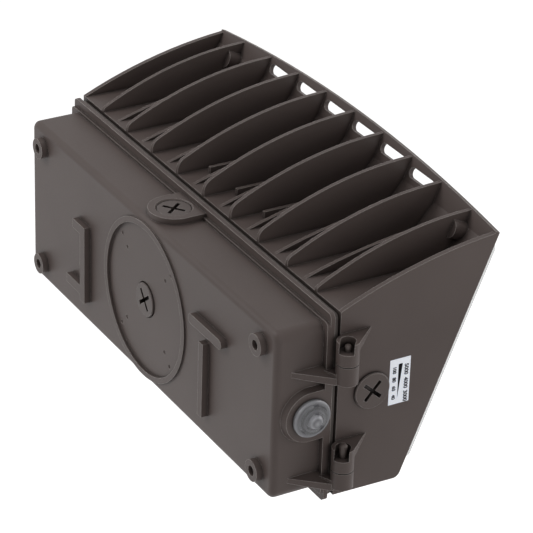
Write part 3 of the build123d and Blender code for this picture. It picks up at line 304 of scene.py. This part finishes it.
zinc = metal("zinc_steel", (0.5, 0.49, 0.46), (0.68, 0.67, 0.63))
stainless = metal("stainless", (0.46, 0.45, 0.44), (0.64, 0.63, 0.62), rough=0.28, stretch=(1, 1, 8))
brass = metal("brass", (0.58, 0.4, 0.14), (0.76, 0.58, 0.26), rough=0.26)
sheet = galvanised("galvanised_sheet")

board_green = circuit_board("board_green", (0.012, 0.11, 0.045), (0.02, 0.15, 0.06), (0.03, 0.2, 0.09))
board_white = circuit_board("board_white", (0.78, 0.78, 0.76), (0.72, 0.72, 0.7), (0.62, 0.62, 0.6))

finishes = {
    "back_box": paint,
    "front_housing": paint,
    "rear_plug": plug_paint,
    "top_plug": plug_paint,
    "end_plug": plug_paint,
    "side_plug": plug_paint,
    "door_gasket": rubber,
    "hinge_pins": plug_paint,
    "photocell_gasket": black_rubber,
    "photocell_body": black_plastic,
    "photocell_nut": black_plastic,
    "photocell_sensor": sensor,
    "photocell_lens": stepped_dome("cell_dome"),
    "earth_screw": earth_green,
    "terminal_block": ivory,
    "terminal_block_screws": zinc,
    "terminal_screws": brass,
    "side_plug_seal": black_rubber,
    "selector_board": board_green,
    "selector_screws": zinc,
    "cct_switch_frame": stainless,
    "power_switch_frame": stainless,
    "cct_switch_knob": black_plastic,
    "power_switch_knob": black_plastic,
    "setting_label": label_white,
    "lens": frosted_lens("lens_frosted"),
    "lens_gasket": silicone,
    "lens_screws": stainless,
    "thermal_pad": silicone,
    "led_board": board_white,
    "leds": phosphor,
    "led_board_screws": zinc,
    "reflector": reflector_white,
    "driver_case": sheet,
    "driver_cover": sheet,
    "driver_board": board_green,
    "driver_screws": zinc,
    "surge_protector": surge,
    "surge_screw": zinc,
    "grommet": black_rubber,
    "led_leads": leads,
    "upper_door_screw": stainless,
    "lower_door_screw": stainless,
    "upper_screw_retainer": nylon,
    "lower_screw_retainer": nylon,
}
for name, node in nodes.items():
    node.data.materials.clear()
    node.data.materials.append(finishes[name])

# ---------------------------------------------------------------- the label's print, in millimetres
INK = 0.04  # thickness of the print
BOLDNESS = 0.14  # thickening of the digits' strokes
WEDGE_LIFT = 0.01  # gap between the label and the wedge
WEDGE = ((-1.15, 11.45), (1.65, 11.45), (-1.05, -11.55))
COLOUR_SIZE = 3.7  # size of the digits beside the colour switch
COLOUR_ROW = 4.25  # how far forward of the label's middle they stand
COLOURS = (("5000", 6.85), ("4000", -2.35), ("3000", -11.15))  # digits and height
POWER_SIZE = 3.2
POWER_ROW = -3.85
POWERS = (("100", 7.85), ("80", 1.45), ("60", -4.35), ("40", -10.15))

# Words on the label run down, with their tops to the front and their ink outwards
READING_DOWN = Matrix(((0, 0, -1, 0), (0, -1, 0, 0), (-1, 0, 0, 0), (0, 0, 0, 1)))


def label_point(forward, height, out):
    """A point of the print: forward and up from the label's middle, and out from its face."""
    return Vector((label_low.x, label_middle.y, label_middle.z)) + Vector((-out, -forward, height)) * MM


def add_piece(name, data, body, place):
    """A piece of the scene that is put in its place and rides on a body."""
    piece = bpy.data.objects.new(name, data)
    piece.matrix_world = place
    bpy.context.scene.collection.objects.link(piece)
    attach(piece, body)


def print_shape(name, outline, body="door"):
    """A thin printed shape on the label, from the (forward, height) of its corners."""
    bm = bmesh.new()
    face = bm.faces.new([bm.verts.new(label_point(*corner, WEDGE_LIFT)) for corner in outline])
    grown = bmesh.ops.extrude_face_region(bm, geom=[face])["geom"]
    raised = [item for item in grown if isinstance(item, bmesh.types.BMVert)]
    bmesh.ops.translate(bm, vec=(-INK * MM, 0, 0), verts=raised)
    bmesh.ops.recalc_face_normals(bm, faces=bm.faces)
    mesh = bpy.data.meshes.new(name)
    bm.to_mesh(mesh)
    bm.free()
    mesh.materials.append(label_ink)
    add_piece(name, mesh, body, Matrix())


def print_number(name, digits, forward, height, size, body="door"):
    """Plain digits printed on the label."""
    curve = bpy.data.curves.new(name, "FONT")
    curve.body = digits
    curve.size = size * MM
    curve.extrude = INK / 2 * MM
    curve.offset = BOLDNESS * MM
    curve.align_x = "CENTER"
    curve.align_y = "CENTER"
    curve.materials.append(label_ink)
    middle = label_point(forward, height, INK / 2)
    add_piece(name, curve, body, Matrix.Translation(middle) @ READING_DOWN)


print_shape("label_wedge", WEDGE)
for step, (digits, height) in enumerate(COLOURS):
    print_number(f"label_outer_number_{step + 1}", digits, COLOUR_ROW, height, COLOUR_SIZE)
for step, (digits, height) in enumerate(POWERS):
    print_number(f"label_inner_number_{step + 1}", digits, POWER_ROW, height, POWER_SIZE)

# ---------------------------------------------------------------- surroundings, in metres
FLOOR_HALF = 9
FLOOR_LEVEL = -0.45
FLOOR_GLOW = 0.72
SKY_LIGHT = 0.22  # how strongly the white world lights the object
MIDDLE = Vector((0, -0.06, 0.02))  # middle of the object, which the lights aim at


def floor_material():
    """Pale floor that reads as white to the camera and still takes the object's shadow."""
    material, tree, shader = new_material(
        "floor_white", Base_Color=(0.86, 0.86, 0.86, 1), Roughness=0.9, Specular_IOR_Level=0.1
    )
    shader.inputs["Emission Color"].default_value = (1, 1, 1, 1)
    glow = combine(tree, "MULTIPLY", seen_rays(tree), FLOOR_GLOW)
    tree.links.new(glow, shader.inputs["Emission Strength"])
    return material


floor_mesh = bpy.data.meshes.new("floor")
corners = [(x * FLOOR_HALF, y * FLOOR_HALF, FLOOR_LEVEL) for x, y in ((-1, -1), (1, -1), (1, 1), (-1, 1))]
floor_mesh.from_pydata(corners, [], [(0, 1, 2, 3)])
floor_mesh.materials.append(floor_material())
floor = bpy.data.objects.new("floor", floor_mesh)
bpy.context.scene.collection.objects.link(floor)

# The world shows as white, but lights the object dimly
world = bpy.data.worlds.new("studio")
bpy.context.scene.world = world
world.use_nodes = True
sky = world.node_tree
background = sky.nodes["Background"]
background.inputs["Color"].default_value = (1, 1, 1, 1)
strength = remap(sky, seen_rays(sky), To_Min=SKY_LIGHT, To_Max=1.0)
sky.links.new(strength, background.inputs["Strength"])


def area_light(name, place, size, power):
    """A square soft light aimed at the middle of the object."""
    lamp = bpy.data.lights.new(name, "AREA")
    lamp.size = size
    lamp.energy = power
    holder = bpy.data.objects.new(name, lamp)
    holder.location = place
    holder.rotation_euler = (MIDDLE - Vector(place)).to_track_quat("-Z", "Y").to_euler()
    bpy.context.scene.collection.objects.link(holder)


area_light("key", (0.5, 0.8, 0.95), size=0.7, power=7)
area_light("top", (-0.3, -0.2, 2.0), size=1.2, power=5)
area_light("end_fill", (-1.8, 0.4, 0.4), size=1.0, power=5)
area_light("front_fill", (-0.9, -1.9, 0.5), size=1.4, power=12)

# ---------------------------------------------------------------- camera, as in the photograph
AZIMUTH = radians(60.12)
ELEVATION = radians(27.82)
ROLL = radians(1.53)
AIM = Vector((-0.00208, -0.06435, 0.02432))
DISTANCE = 1.7047

away = Vector((-sin(AZIMUTH) * cos(ELEVATION), cos(AZIMUTH) * cos(ELEVATION), sin(ELEVATION)))
right = (-away).cross(Vector((0, 0, 1))).normalized()
up = right.cross(-away)
turned = Matrix((right * cos(ROLL) + up * sin(ROLL), up * cos(ROLL) - right * sin(ROLL), away)).transposed()
camera = bpy.data.objects.new("camera", bpy.data.cameras.new("camera"))
camera.matrix_world = Matrix.Translation(AIM + away * DISTANCE) @ turned.to_4x4()
camera.data.lens = 186.83
camera.data.sensor_width = 36.0
camera.data.shift_x = 0.0629
camera.data.shift_y = -0.0396
camera.data.clip_end = 50
bpy.context.scene.collection.objects.link(camera)
bpy.context.scene.camera = camera

bpy.context.scene.view_settings.view_transform = "Standard"
